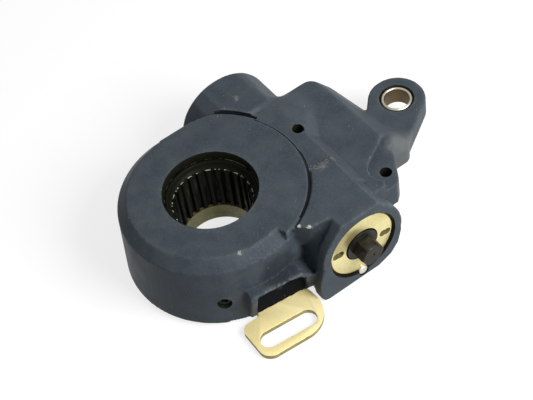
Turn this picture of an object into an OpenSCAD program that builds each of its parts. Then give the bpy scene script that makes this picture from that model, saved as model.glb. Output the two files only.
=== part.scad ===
// Automatic brake slack adjuster for an S-cam drum brake, lying on its control side.
// Frame: origin on the spline axis at the height of the worm, +X towards the clevis eye,
// -Y towards the adjusting hex and the control arm, +Z up through the hub's open face.

/* [Worm drive] */
// Teeth on the worm wheel
wheel_teeth = 24; // [20:1:30]
// Module of the worm and the worm wheel
gear_module = 3; // [2.8:0.1:3.2]
// Pitch radius of the worm
worm_pitch_r = 10.5; // [10:0.25:12]
// Width of the worm wheel's toothed rim
wheel_face = 22; // [20:0.5:24]
// Length of the worm's thread
worm_length = 34; // [28:1:36]

/* [Camshaft spline] */
// Teeth of the spline
spline_teeth = 26; // [10:1:37]
// Radius over the inside of the spline teeth
spline_minor_r = 19.7; // [17:0.1:20.5]
// Depth of the spline teeth
spline_depth = 1.7; // [1:0.1:2]
// Level where the spline starts below its smooth lead-in
spline_top = 14.6; // [12:0.2:16]

/* [Hub] */
// Height of the hub's top face above the worm axis
hub_top = 24; // [22:0.5:25]
// Thickness of the hub's outer wall
hub_wall = 10; // [8:0.5:12]
// Width of the chamfer round the hub's top face
hub_chamfer_w = 5.6; // [3:0.2:7]
// Height of the chamfer round the hub's top face
hub_chamfer_h = 6.2; // [3:0.2:8]
// How much the hub's wall leans in towards the chamfer
hub_draft = 2.2; // [0.5:0.1:3]
// Radius of the bore in the hub's top face
hub_bore_r = 24.5; // [24:0.1:26]
// Width of the channel between the hub's face and the worm tube
channel_w = 2; // [1:0.25:3]
// How far the hub's face stands above the web beside it
face_step = 1; // [0.5:0.25:2]

/* [Worm tube] */
// Radius of the bearing retainer
retainer_r = 20; // [19:0.25:21]
// Wall of the worm tube round the retainer
tube_wall = 5; // [4.5:0.25:6]
// How far the collar round the tube's mouth stands out from the tube
collar_step = 1.4; // [0.5:0.1:2]
// Width of the collar round the tube's mouth
collar_w = 6.5; // [4:0.5:8]
// Distance from the spline axis to the tube's open end
tube_near = 63.5; // [62:0.5:68]
// Distance from the spline axis to the tube's closed end
tube_far = 60.3; // [56:0.1:66]
// Half of the width of the flat along the tube's top
flat_half = 11.5; // [9:0.5:13]
// Rounding of the tube's closed end
tube_round = 7; // [4:0.5:10]
// Length of the tube's mouth, which stands on a flat foot
mouth_length = 23; // [18:0.5:26]
// Where the web between the two flats starts on the hex side
web_near = 22; // [18:0.5:26]
// Where the web between the two flats ends on the closed side
web_far = 26.4; // [20:0.2:30]

/* [Arm] */
// Distance from the spline axis to the clevis eye
arm_length = 120; // [116:0.5:126]
// Outside radius of the clevis eye
eye_r = 15.6; // [14.5:0.1:17]
// Thickness of the eye and the arm's plate
eye_thickness = 11.4; // [10:0.2:14]
// Level of the eye's top face
eye_top = 3.6; // [2:0.2:6]
// Radius of the clevis pin hole in the bush
bush_bore_r = 7; // [6:0.25:8]
// Wall of the bush
bush_wall = 1.4; // [1:0.1:2]
// Level of the flat top of the arm's block
block_top = 15; // [13:0.5:17]
// Half width of the arm's block on the closed side
block_far = 35.8; // [33:0.2:38]

/* [Control unit] */
// Thickness of the control arm's plate
control_plate = 3; // [2.5:0.25:3.5]
// Width of the slot in the control arm
slot_w = 10; // [8:0.2:11]
// Distance between the centres of the slot's round ends
slot_pitch = 22; // [16:0.2:24]
// Distance from the spline axis to the middle of the slot
slot_reach = 66.1; // [64:0.1:70]
// Teeth of the clutch pinion
pinion_teeth = 18; // [17:1:19]
// Module of the rack and the clutch pinion
rack_module = 1.25; // [1.2:0.05:1.3]

/* [Adjusting end] */
// Width of the adjusting hex across its flats
hex_flats = 12; // [10:0.5:13]
// How far the hex stands out of the tube
hex_reach = 8; // [6:0.5:12]
// Radius of the worm shaft
shaft_r = 7; // [6.5:0.1:7]
// Radius of the retainer's lock pin
lock_pin_r = 2.8; // [2:0.1:3]

/* [Clearances] */
// Radial clearance of running fits
run_gap = 0.06; // [0.02:0.01:0.1]
// Clearance of pieces that are fitted together and stay put
seat_gap = 0.04; // [0.02:0.01:0.1]
// Clearance between pieces that move past each other
free_gap = 0.5; // [0.3:0.05:0.8]

/* [Hidden] */
$fn = 72;
POST_FN = 32;
CUT = 1;

// Worm and worm wheel
wheel_pitch_r = gear_module * wheel_teeth / 2;
worm_x = wheel_pitch_r + worm_pitch_r;
wheel_tip_r = wheel_pitch_r + gear_module;
wheel_root_r = wheel_pitch_r - 1.17 * gear_module;
worm_tip_r = worm_pitch_r + 0.9 * gear_module;
worm_lead = PI * gear_module;
wheel_twist = atan(worm_lead / (2 * PI * worm_pitch_r));
wheel_half = wheel_face / 2;
journal_r = hub_bore_r - run_gap;
lead_in_r = spline_minor_r + spline_depth + 0.6;
wheel_end = hub_top - 4.8;

// Levels of the control unit, from the wheel downwards
rack_body_top = -wheel_half - 1.5;
rack_plate = 4;
rack_bottom = rack_body_top - rack_plate;
disc_top = rack_bottom - 0.7;
disc_plate = 4;
disc_bottom = disc_top - disc_plate;
arm_bottom = disc_bottom - control_plate;
gasket_plate = 0.4;
cover_plate = 1.4;
floor_z = disc_bottom - 0.9;
gasket_bottom = floor_z - gasket_plate;
cover_bottom = gasket_bottom - cover_plate;
wheel_foot = -wheel_half - 2.5;

// Housing
cavity_r = wheel_tip_r + 2;
hub_r = cavity_r + hub_wall;
cavity_top = wheel_half + 1;
tube_r = retainer_r + tube_wall;
face_r = hub_r - 1.5;
web_z = hub_top - face_step;
ramp = 4;
eye_bottom = eye_top - eye_thickness;
bush_r = bush_bore_r + bush_wall;
worm_bore_r = worm_tip_r + 2;
clutch_bore_r = retainer_r - 1.8;
retainer_face = -tube_near + 1.3;
retainer_back = retainer_face + 7;
lip_seal_y = retainer_face + 4.4;
lip_seal_r = shaft_r + 4.6;
far_bore = tube_far - 7;
seal_w = 3;
seal_depth = 2;
seal_z = hub_top - 10;

// Clutch train on the worm shaft
pinion_r = rack_module * pinion_teeth / 2;
pinion_w = 8;
rack_w = pinion_w;
collar_r = spline_minor_r + 3.2;
lower_seal_r = 1.1;
rack_gap = 0.56;
rack_reach = collar_r + 2 * lower_seal_r + seat_gap + rack_gap + rack_w / 2;
drive_pin_reach = rack_reach + 0.3;
pinion_y = -rack_reach;
thrust_plate = 1.5;
ball_r = 1.7;
thrust_y = retainer_back + seat_gap;
thrust_end = thrust_y + 2 * thrust_plate + 2 * ball_r + 2 * seat_gap;
shoulder_end = thrust_end + 3;
clutch_r = shaft_r + 2.3;
clutch_split = pinion_y - pinion_w / 2 - 5;
pin_r = 2.2;

// Control arm: the window in the hub's skirt that the arm swings in
neck_left = -12.3;
neck_right = 16.2;
slot_mid = [-5.3, -slot_reach];
slot_tilt = -5.7;
slot_a = slot_mid - slot_pitch / 2 * [cos(slot_tilt), sin(slot_tilt)];
slot_b = slot_mid + slot_pitch / 2 * [cos(slot_tilt), sin(slot_tilt)];
heel_r = 7;
heel = slot_a + [-1.5, -2.9];
shoulder_r = 5;
shoulder = [-19.3, -hub_r - 4.2];
toe_r = 16;
toe = slot_b + [-4.3, 6.8];
brow_z = 1.2;
brow_reach = 4.8;
brow_turn = -7;
window_from = -121;
window_to = -58;
cover_from = 52;
cover_to = window_from + 357;
rivet_r = 2;
rivet_reach = 29;
screw_r = 2.2;
screw_reach = hub_r - 6.2;
screw_angles = [62, 96, 130, 164, 198, 230];

// Drilled holes and the plug in the hub's wall
web_hole = [worm_x + 11.8, 3.6];
lug_hole = [80.1, -40.5];
hole_r = 3;
plug_angle = -121.2;
plug_z = -5.5;
plug_r = 3.4;
lock_pin_at = retainer_r + 0.6;

// Builders shared by the pieces

// A round bar along the worm axis between two places on Y
module rod(r, from, to) {
    translate([worm_x, to, 0]) rotate([90, 0, 0]) cylinder(r = r, h = to - from);
}

// A tube along the worm axis
module sleeve(r_in, r_out, from, to) {
    difference() {
        rod(r_out, from, to);
        rod(r_in, from - CUT, to + CUT);
    }
}

// A ring about the spline axis between two levels
module ring(r_in, r_out, from, to) {
    difference() {
        translate([0, 0, from]) cylinder(r = r_out, h = to - from);
        translate([0, 0, from - CUT]) cylinder(r = r_in, h = to - from + 2 * CUT);
    }
}

// A flat shape in X and Z, extruded along Y
module along_y(from, to) {
    translate([0, to, 0]) rotate([90, 0, 0]) linear_extrude(height = to - from) children();
}

// A sector about the spline axis, between two angles and two levels
module sector(r, a0, a1, from, to) {
    steps = ceil((a1 - a0) / 30);
    translate([0, 0, from]) linear_extrude(height = to - from)
        polygon(concat([[0, 0]],
            [for (i = [0:steps]) let(a = a0 + (a1 - a0) * i / steps) r * [cos(a), sin(a)]]));
}

// Two discs joined by their outer tangents
module link(p, q, r_p, r_q, slim = 0.02) {
    d = norm(q - p);
    heading = atan2(q[1] - p[1], q[0] - p[0]);
    lean = acos((r_p - r_q) / d);
    left = [cos(heading + lean), sin(heading + lean)];
    right = [cos(heading - lean), sin(heading - lean)];
    translate(p) circle(r = r_p);
    translate(q) circle(r = r_q);
    polygon([p + (r_p - slim) * left, q + (r_q - slim) * left,
        q + (r_q - slim) * right, p + (r_p - slim) * right]);
}

// Outline of a toothed wheel with straight flanks: half angles are taken at the root, and the tip
module toothed(teeth, r_root, r_tip, half_root, half_tip) {
    polygon([for (i = [0:teeth - 1]) let(a = i * 360 / teeth) each [
        r_root * [cos(a - half_root), sin(a - half_root)],
        r_tip * [cos(a - half_tip), sin(a - half_tip)],
        r_tip * [cos(a + half_tip), sin(a + half_tip)],
        r_root * [cos(a + half_root), sin(a + half_root)]]]);
}

// A profile of [radius, place along the axis] points swept along a helix on the worm axis
module helix(profile, lead, from, to, step) {
    n = len(profile);
    count = ceil((to - from) / step);
    points = [for (i = [0:count]) let(t = from + (to - from) * i / count) for (p = profile)
        [-p[0] * cos(t), p[1] + lead * t / 360, p[0] * sin(t)]];
    sides = [for (i = [0:count - 1], j = [0:n - 1]) let(a = i * n + j, b = i * n + (j + 1) % n)
        each [[a, b + n, b], [a, a + n, b + n]]];
    start_cap = [for (j = [0:n - 1]) j];
    end_cap = [for (j = [n - 1:-1:0]) count * n + j];
    translate([worm_x, 0, 0]) polyhedron(points, concat([start_cap], sides, [end_cap]));
}

// Housing: one casting of hub, worm tube, arm block and clevis eye

// The hub: a drum with a broad chamfer round its face
module hub_form() {
    skirt = 1;
    rim = hub_r - hub_draft;
    rotate_extrude() polygon([[0, floor_z], [hub_r - skirt, floor_z], [hub_r, floor_z + skirt],
        [rim, hub_top - hub_chamfer_h], [rim - hub_chamfer_w, hub_top], [0, hub_top]]);
}

// The hub's flat face runs out to a sharp edge on the side of the worm tube
module hub_face() {
    depth = hub_chamfer_h + 2;
    intersection() {
        translate([0, 0, hub_top - depth]) cylinder(r = face_r, h = depth);
        sector(2 * hub_r, -75, 52, hub_top - depth, hub_top);
    }
}

// Cross-section of the worm tube: round below, with a flat and two tangent slopes on top
module tube_section(r) {
    corner = [flat_half, tube_r];
    slope = atan2(corner[1], corner[0]) - acos((r - 0.02) / norm(corner));
    translate([worm_x, 0]) {
        circle(r = r);
        polygon([[-flat_half, tube_r], corner, (r - 0.02) * [cos(slope), sin(slope)], [0, 0],
            (r - 0.02) * [-cos(slope), sin(slope)]]);
    }
}

// The tube's mouth has a flat foot that leans out over the control arm, and falls away on the arm's side
module foot_section(r) {
    translate([worm_x, 0]) polygon([[-r, 0], [-1.09 * r, -0.3 * r], [-1.13 * r, -0.5 * r],
        [-1.14 * r, -0.66 * r], [-1.12 * r, -0.85 * r], [-1.06 * r, -0.96 * r], [-0.97 * r, -r],
        [0.36 * r, -r], [0.68 * r, -0.87 * r], [0.88 * r, -0.64 * r], [0.98 * r, -0.3 * r], [0.98 * r, 0]]);
}

// The closed end is fuller on the hub's side
module lobe_section(r) {
    translate([worm_x, 0]) polygon([[0, 0], [-0.84 * r, -0.58 * r], [-1.11 * r, -0.32 * r], [-1.14 * r, 0],
        [-1.1 * r, 0.28 * r], [-0.96 * r, 0.58 * r], [-0.74 * r, 0.86 * r], [-flat_half, r], [0, r]]);
}

// The worm tube, open towards the hex and rounded at its closed end
module tube_form() {
    reach = norm([flat_half, tube_r]) + 0.1;
    lobe_shift = 2.2;
    slim_r = tube_r - collar_step;
    neck_y = collar_w - tube_near;
    mouth_y = mouth_length - tube_near;
    along_y(-tube_near, neck_y) {
        tube_section(tube_r);
        foot_section(tube_r);
    }
    along_y(neck_y - CUT, mouth_y) {
        tube_section(slim_r);
        foot_section(slim_r);
    }
    along_y(mouth_y - CUT, tube_far - 20) tube_section(tube_r);
    intersection() {
        along_y(web_far - 5, tube_far) {
            tube_section(tube_r);
            lobe_section(tube_r);
        }
        translate([worm_x - lobe_shift, 0, 0]) rotate([-90, 0, 0]) rotate_extrude() {
            square([reach, tube_far - tube_round]);
            square([reach - tube_round, tube_far]);
            translate([reach - tube_round, tube_far - tube_round]) intersection() {
                circle(r = tube_round);
                square(tube_round);
            }
        }
    }
}

// Fills the corner between the hub and the tube on the hex side
module gusset_form() {
    edge = -tube_near + 9;
    foot = edge + 4;
    hull() {
        translate([0, 0, tube_r - CUT]) linear_extrude(height = CUT)
            polygon([[14, -38], [17.5, edge + 7], [24, edge + 1], [33, edge],
                [worm_x, edge], [worm_x, -web_near]]);
        translate([0, 0, 4]) linear_extrude(height = CUT)
            polygon([[20, -38], [21, foot + 5.5], [24, foot + 3], [33, foot],
                [worm_x, foot], [worm_x, -web_near]]);
    }
}

// The part of the tube's top that lies lower than its two flats
module web_cut() {
    rise = tube_r - web_z;
    translate([worm_x - tube_r, 0, 0]) rotate([90, 0, 90]) linear_extrude(height = 2.4 * tube_r)
        polygon([[-web_near - ramp, tube_r + CUT], [-web_near - ramp, tube_r], [-web_near, web_z],
            [web_far, web_z], [web_far + rise, tube_r], [web_far + rise, tube_r + CUT]]);
}

// Clears the tube's flats from the hub's face
module channel_cut() {
    for (y = [0, channel_w]) translate([0, y, web_z]) cylinder(r = face_r + channel_w, h = tube_r);
}

// The slope from the web down to the arm's block
module saddle_form() {
    thin = 0.5;
    broad = worm_x + 32;
    waist = worm_x + 20.7;
    bend = 22;
    start = -2;
    along_y(bend, block_far - 4)
        polygon([[worm_x, 0], [worm_x, web_z], [worm_x + 13, web_z], [broad, block_top], [broad, 0]]);
    hull() {
        along_y(bend, bend + thin)
            polygon([[worm_x, 0], [worm_x, web_z], [worm_x + 13, web_z], [broad, block_top], [broad, 0]]);
        along_y(start - thin, start)
            polygon([[worm_x, 0], [worm_x, web_z], [worm_x + 13, web_z], [waist, block_top], [waist, 0]]);
    }
}

// The arm's block: a slab whose outer end slopes down to the eye's plate
module block_form() {
    corner = 6;
    foot_far = arm_length - 27;
    foot_near = arm_length - 19.8;
    crest_far = arm_length - 36.5;
    crest_near = arm_length - 34.5;
    hull() {
        for (p = [[foot_far, block_far - corner - 1], [foot_near, -25.2],
                [worm_x, block_far - corner], [worm_x, -25]])
            translate([p[0], p[1], eye_bottom]) cylinder(r = corner, h = eye_thickness - 1, $fn = POST_FN);
        for (p = [[crest_far, block_far - corner - 1], [crest_near, -20],
                [worm_x, block_far - corner - 1], [worm_x, -20]])
            translate([p[0], p[1], block_top - CUT]) cylinder(r = corner, h = CUT, $fn = POST_FN);
    }
}

// The eye and its plate, which leans towards the hex side as it meets the block
module eye_form() {
    near = [0.571, -0.821];
    far = [-0.72, 0.69];
    eye = [arm_length, 0];
    translate([0, 0, eye_bottom]) linear_extrude(height = eye_thickness) {
        translate(eye) circle(r = eye_r);
        polygon([eye + eye_r * near, eye + eye_r * near + 27.5 * [-0.846, -0.533],
            [arm_length - 22, -30], [arm_length - 22, 0], eye + eye_r * far + 11 * [-0.69, -0.72],
            eye + eye_r * far]);
    }
}

// A lug beside the tube's mouth with a drilled pad, and the shelf of the block above it
module lug_form() {
    pad_z = block_top - 5;
    back = -tube_near + 13;
    translate([0, 0, eye_bottom + 3]) linear_extrude(height = pad_z - eye_bottom - 3)
        polygon([[worm_x, back], [79.5, back], [83, back + 3], [91.5, -33], [91.5, -18], [worm_x, -18]]);
    linear_extrude(height = block_top)
        polygon([[worm_x, -18], [88, -18], [88, -28], [72, back], [worm_x, back]]);
}

// Sinks the lug's pad below the block, open towards the arm's end
module pad_cut() {
    pad_r = 9;
    translate([0, 0, block_top - 5]) linear_extrude(height = 10)
        link(lug_hole, lug_hole + 24 * [0.87, 0.5], pad_r, pad_r);
}

// A cast brow over the place where the control arm leaves the hub, with a cheek that runs out below it
module apron_form() {
    low = disc_bottom + free_gap + 0.3;
    front = hub_r + brow_reach;
    rotate([0, 0, brow_turn]) difference() {
        along_y(-front, -hub_r + 8)
            polygon([[-10, low], [-10, brow_z], [14, brow_z], [20, brow_z - 1.3],
                [25, brow_z - 6.3], [28, brow_z - 12], [28, low]]);
        translate([-20, 0, 0]) rotate([90, 0, 90]) linear_extrude(height = 47)
            polygon([[-front - CUT, brow_z - 4], [-front, brow_z - 4], [-hub_r, low - CUT],
                [-front - CUT, low - CUT]]);
    }
}

// The hollow under the brow
module apron_cut() {
    lip = 1.5;
    low = floor_z - CUT;
    rotate([0, 0, brow_turn]) along_y(-hub_r - 10, -hub_r + 0.5)
        polygon([[-6.5, low], [-6.5, brow_z - lip], [13, brow_z - lip], [18, brow_z - lip - 1.2],
            [21.5, brow_z - lip - 4.8], [21.5, low]]);
}

// Bores and pockets of the casting
module housing_cuts() {
    mouth = 0.8;
    translate([0, 0, floor_z - CUT - 5]) cylinder(r = cavity_r, h = cavity_top - floor_z + CUT + 5);
    cylinder(r = hub_bore_r, h = hub_top + CUT);
    translate([0, 0, seal_z]) cylinder(r = hub_bore_r + seal_depth, h = seal_w);
    rod(worm_bore_r, -tube_near, far_bore);
    rod(clutch_bore_r, -tube_near, -worm_length / 2 - 4);
    rod(retainer_r + seat_gap, -tube_near - CUT, retainer_back + seat_gap);
    translate([worm_x, -tube_near + mouth, 0]) rotate([90, 0, 0])
        cylinder(r1 = retainer_r + seat_gap, r2 = retainer_r + mouth + 0.4, h = mouth + 0.01);
    lock_pin_hole();
    rack_channel();
    apron_cut();
    translate([arm_length, 0, eye_bottom - CUT]) cylinder(r = bush_r + seat_gap, h = eye_thickness + 2 * CUT);
    for (side = [0, 1]) translate([arm_length, 0, eye_bottom + eye_thickness / 2]) rotate([180 * side, 0, 0])
        translate([0, 0, eye_thickness / 2 - 0.9]) cylinder(r1 = bush_r, r2 = bush_r + 1.2, h = 1.2);
    translate([web_hole[0], web_hole[1], web_z - 10]) cylinder(r = hole_r, h = 20);
    translate([lug_hole[0], lug_hole[1], block_top - 17]) cylinder(r = hole_r, h = 20);
    rotate([0, 0, plug_angle]) translate([cavity_r - CUT, 0, plug_z]) rotate([0, 90, 0])
        cylinder(r = plug_r + seat_gap, h = hub_wall + 2 * CUT);
    for (a = screw_angles) rotate([0, 0, a])
        translate([screw_reach, 0, floor_z - CUT]) cylinder(r = screw_r + seat_gap, h = 10 + CUT);
    intersection() {
        ring(cavity_r - CUT, hub_r + 2, floor_z - 5, disc_bottom + free_gap);
        sector(2 * hub_r, window_from, window_to, floor_z - 5, disc_bottom + free_gap);
    }
}

module lock_pin_hole() {
    translate([worm_x - 1.3, retainer_face + 6, -lock_pin_at]) rotate([90, 0, 0])
        cylinder(r = lock_pin_r + seat_gap, h = 12);
}

// The rack runs in a slot from the hub's cavity to the clutch bore
module rack_channel() {
    half = rack_w / 2 + free_gap;
    from = -12;
    to = worm_x + 15.6;
    translate([from, pinion_y - half, rack_bottom - 0.35])
        cube([to - from, 2 * half, rack_bottom * -1 - pinion_r + rack_module + 2]);
}

module housing() {
    color("#4d525a") difference() {
        union() {
            difference() {
                union() {
                    tube_form();
                    gusset_form();
                }
                web_cut();
                channel_cut();
            }
            hub_form();
            hub_face();
            saddle_form_clear();
            difference() {
                union() {
                    block_form();
                    lug_form();
                }
                pad_cut();
            }
            eye_form();
            apron_form();
        }
        housing_cuts();
    }
}

// The saddle stops at the edge of the hub's face
module saddle_form_clear() {
    difference() {
        saddle_form();
        cylinder(r = face_r - CUT, h = hub_top + CUT);
    }
}

module arm_bush() {
    proud = -0.1;
    color("#b5a89a") translate([arm_length, 0, eye_bottom - proud]) difference() {
        cylinder(r = bush_r, h = eye_thickness + 2 * proud);
        translate([0, 0, -CUT]) cylinder(r = bush_bore_r, h = eye_thickness + 2 * proud + 2 * CUT);
    }
}

// Worm wheel: helical teeth outside, the camshaft's spline inside
module worm_wheel() {
    pitch = 360 / wheel_teeth;
    turn = 2 * wheel_half * tan(wheel_twist) / wheel_pitch_r * 180 / PI;
    color("#35373a") difference() {
        union() {
            rotate([0, 0, pitch / 2 - turn / 2])
                translate([0, 0, -wheel_half]) linear_extrude(height = wheel_face, twist = -turn, slices = 5)
                    toothed(wheel_teeth, wheel_root_r, wheel_tip_r, 0.285 * pitch, 0.125 * pitch);
            translate([0, 0, wheel_foot]) cylinder(r = journal_r, h = wheel_end - wheel_foot);
        }
        translate([0, 0, wheel_foot - CUT]) linear_extrude(height = spline_top - wheel_foot + CUT)
            toothed(spline_teeth, spline_minor_r, spline_minor_r + spline_depth,
                0.3 * 360 / spline_teeth, 0.2 * 360 / spline_teeth);
        translate([0, 0, wheel_foot - CUT]) cylinder(r = spline_minor_r, h = spline_top - wheel_foot + CUT);
        translate([0, 0, spline_top]) cylinder(r = lead_in_r, h = wheel_end - spline_top + CUT);
        translate([0, 0, wheel_end - 1]) cylinder(r1 = lead_in_r, r2 = lead_in_r + 1.2, h = 1.2);
    }
}

module upper_seal() {
    color("#1c1c1e") ring(journal_r + run_gap / 2, hub_bore_r + seal_depth - seat_gap, seal_z + seat_gap,
        seal_z + seal_w - seat_gap);
}

module lower_seal() {
    color("#1c1c1e") translate([0, 0, disc_top + lower_seal_r + seat_gap]) rotate_extrude()
        translate([collar_r + lower_seal_r + seat_gap, 0]) circle(r = lower_seal_r);
}

// Worm shaft: hex, bearing collar, thrust shoulder, worm and rear journal in one turned piece
module worm_shaft() {
    half = worm_length / 2;
    thread_turn = 360 * (half - 3) / worm_lead;
    root_half = 0.3 * worm_lead;
    tip_half = 0.13 * worm_lead;
    hex_end = -tube_near - hex_reach;
    hex_r = hex_flats / 2 / cos(30);
    color("#2c2d2f") {
        difference() {
            union() {
                intersection() {
                    translate([worm_x, retainer_face + 1, 0]) rotate([90, 0, 0])
                        cylinder(r = hex_r, h = hex_reach + tube_near + retainer_face + 1, $fn = 6);
                    translate([worm_x, retainer_face + 1, 0]) rotate([90, 0, 0]) union() {
                        cylinder(r = hex_r + 1, h = retainer_face - hex_end);
                        translate([0, 0, retainer_face - hex_end])
                            cylinder(r1 = hex_r + 0.2, r2 = hex_r - 0.8, h = 1);
                    }
                }
                rod(shaft_r + 2.4, retainer_face - 0.6, thrust_y - 0.2);
                rod(shaft_r, retainer_face, far_bore - 1);
                rod(shaft_r + 5, thrust_end, shoulder_end);
                rod(shaft_r + 4, half + 0.6, half + 3);
                helix([[shaft_r - 0.6, -root_half], [shaft_r - 0.6, root_half], [worm_tip_r, tip_half],
                    [worm_tip_r, -tip_half]], worm_lead, -thread_turn, thread_turn, 15);
            }
            translate([worm_x, hex_end + 4, 0]) rotate([90, 0, 0]) cylinder(r = 1.1, h = 6);
        }
    }
}

// Clutch: the wrap spring couples the pinion to the ring on the worm shaft one way only
module clutch_ring() {
    color("#6c6f72") sleeve(shaft_r + seat_gap / 2, clutch_r, shoulder_end + seat_gap, clutch_split - 0.2);
}

module clutch_pinion() {
    half_pitch = 180 / pinion_teeth;
    color("#7a7d80") difference() {
        union() {
            along_y(pinion_y - pinion_w / 2, pinion_y + pinion_w / 2) translate([worm_x, 0])
                rotate(half_pitch - 90) toothed(pinion_teeth, pinion_r - 1.2 * rack_module,
                    pinion_r + 0.9 * rack_module, 0.52 * half_pitch, 0.2 * half_pitch);
            rod(clutch_r, clutch_split, pinion_y);
        }
        rod(shaft_r + run_gap, clutch_split - CUT, pinion_y + pinion_w);
    }
}

module clutch_spring() {
    wire_w = 1.3;
    wire_t = 1.6;
    turns = 5;
    lead = 1.75;
    step = 20;
    middle = clutch_split - 0.1;
    r_in = (clutch_r + 0.15) / cos(step / 2);
    color("#8d9093") translate([0, middle, 0]) helix([[r_in, -wire_w / 2], [r_in, wire_w / 2],
        [r_in + wire_t, wire_w / 2], [r_in + wire_t, -wire_w / 2]], lead, -180 * turns, 180 * turns, step);
}

// The load spring holds the worm forward and gives way under heavy braking
module load_spring() {
    wire_r = 1.6;
    turns = 6;
    coil_r = shaft_r + 3.6;
    from = worm_length / 2 + 3.3;
    to = far_bore - 9.3;
    lead = (to - from - 2 * wire_r) / turns;
    color("#55585c") translate([0, (from + to) / 2, 0])
        helix([for (i = [0:7]) [coil_r + wire_r * cos(45 * i), wire_r * sin(-45 * i)]],
            lead, -180 * turns, 180 * turns, 24);
}

module rear_bush() {
    color("#8a7a55") {
        sleeve(shaft_r + run_gap, worm_bore_r - seat_gap, far_bore - 9, far_bore - 6);
        sleeve(shaft_r + run_gap, shaft_r + 4, far_bore - 6, far_bore - 0.2);
    }
}

// Thrust bearing: two washers with a ring of balls between them
module thrust_bearing() {
    balls = 12;
    track_r = (shaft_r + 2.6 + clutch_bore_r) / 2;
    ball_y = thrust_y + thrust_plate + seat_gap + ball_r;
    far_washer = thrust_end - seat_gap - thrust_plate;
    color("#9a9da1") {
        for (y = [thrust_y, far_washer]) sleeve(shaft_r + 2.6, clutch_bore_r - seat_gap, y, y + thrust_plate);
        for (i = [0:balls - 1]) let(a = 360 * i / balls)
            translate([worm_x + track_r * cos(a), ball_y, track_r * sin(a)]) sphere(r = ball_r);
    }
}

module retainer_seal() {
    color("#1c1c1e") sleeve(shaft_r + 2.4 + run_gap, lip_seal_r, lip_seal_y, retainer_back - seat_gap);
}

// Bearing retainer: a screwed ring with two figure-of-eight holes for a pin spanner
module bearing_retainer() {
    spanner_reach = (shaft_r + 3 + retainer_r) / 2;
    spanner_tilt = -11;
    spanner_depth = 3.6;
    edge = 1;
    color("#d8cc96") difference() {
        union() {
            rod(retainer_r, retainer_face + edge, retainer_back);
            translate([worm_x, retainer_face + edge, 0]) rotate([90, 0, 0])
                cylinder(r1 = retainer_r, r2 = retainer_r - edge, h = edge);
        }
        rod(shaft_r + 3, retainer_face - CUT, retainer_back + CUT);
        rod(lip_seal_r + seat_gap, lip_seal_y - seat_gap, retainer_back + CUT);
        for (side = [0, 180]) translate([worm_x, retainer_face - CUT, 0]) rotate([0, -spanner_tilt + side, 0])
            for (step = [-1, 1]) translate([spanner_reach + 1.3 * step, spanner_depth + CUT, 0])
                rotate([90, 0, 0]) cylinder(r = 2.2, h = spanner_depth + 2 * CUT);
        lock_pin_hole();
    }
}

module lock_pin() {
    head = 0.5;
    color("#dcdcd6") translate([worm_x - 1.3, retainer_face + 5.9, -lock_pin_at]) rotate([90, 0, 0]) {
        cylinder(r = lock_pin_r, h = 6.6);
        translate([0, 0, 6.6]) cylinder(r1 = lock_pin_r, r2 = lock_pin_r - 1, h = head);
    }
}

// Control rack: driven along X by the control disc's pin, it turns the clutch pinion
module control_rack() {
    pitch = PI * rack_module;
    teeth_from = -2;
    teeth_to = 3;
    left = -7;
    right = worm_x + (teeth_to + 0.6) * pitch;
    step_x = worm_x + (teeth_from - 0.6) * pitch;
    root = -pinion_r - 1.2 * rack_module;
    tip = -pinion_r + 0.9 * rack_module;
    slot_half = pin_r + 0.3;
    color("#77797c") difference() {
        along_y(pinion_y - rack_w / 2, pinion_y + rack_w / 2)
            polygon(concat([[right, rack_bottom], [left, rack_bottom], [left, rack_body_top],
                [step_x - 3, rack_body_top], [step_x, root]],
                [for (i = [teeth_from:teeth_to]) let(x = worm_x + i * pitch) each [
                    [x - 0.3 * pitch, root], [x - 0.12 * pitch, tip],
                    [x + 0.12 * pitch, tip], [x + 0.3 * pitch, root]]],
                [[right, root]]));
        translate([0, pinion_y, rack_bottom - CUT]) linear_extrude(height = rack_plate + 2 * CUT)
            link([0, -0.45], [0, 0.5], slot_half, slot_half);
    }
}

// Control disc: a collar round the camshaft, a flange and the pin that drives the rack
module control_disc() {
    rim_r = cavity_r - 1.5;
    color("#b3a66c") difference() {
        union() {
            translate([0, 0, disc_bottom]) cylinder(r = rim_r, h = disc_plate);
            intersection() {
                ring(rim_r - 2.9, rim_r, gasket_bottom + 0.2, disc_bottom + CUT);
                sector(2 * rim_r, window_to, window_from + 360, gasket_bottom, disc_bottom + CUT);
            }
            translate([0, 0, arm_bottom]) cylinder(r = collar_r, h = wheel_foot - arm_bottom - free_gap);
            translate([0, -drive_pin_reach, disc_top - CUT])
                cylinder(r = pin_r, h = rack_body_top - disc_top + CUT);
        }
        translate([0, 0, arm_bottom - CUT])
            cylinder(r = spline_minor_r, h = wheel_foot - arm_bottom + 2 * CUT);
        rivet_holes(disc_bottom - CUT, disc_top + CUT);
    }
}

module rivet_holes(from, to) {
    for (a = [0:60:300]) rotate([0, 0, a]) translate([rivet_reach, 0, from])
        cylinder(r = rivet_r + seat_gap, h = to - from);
}

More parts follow.
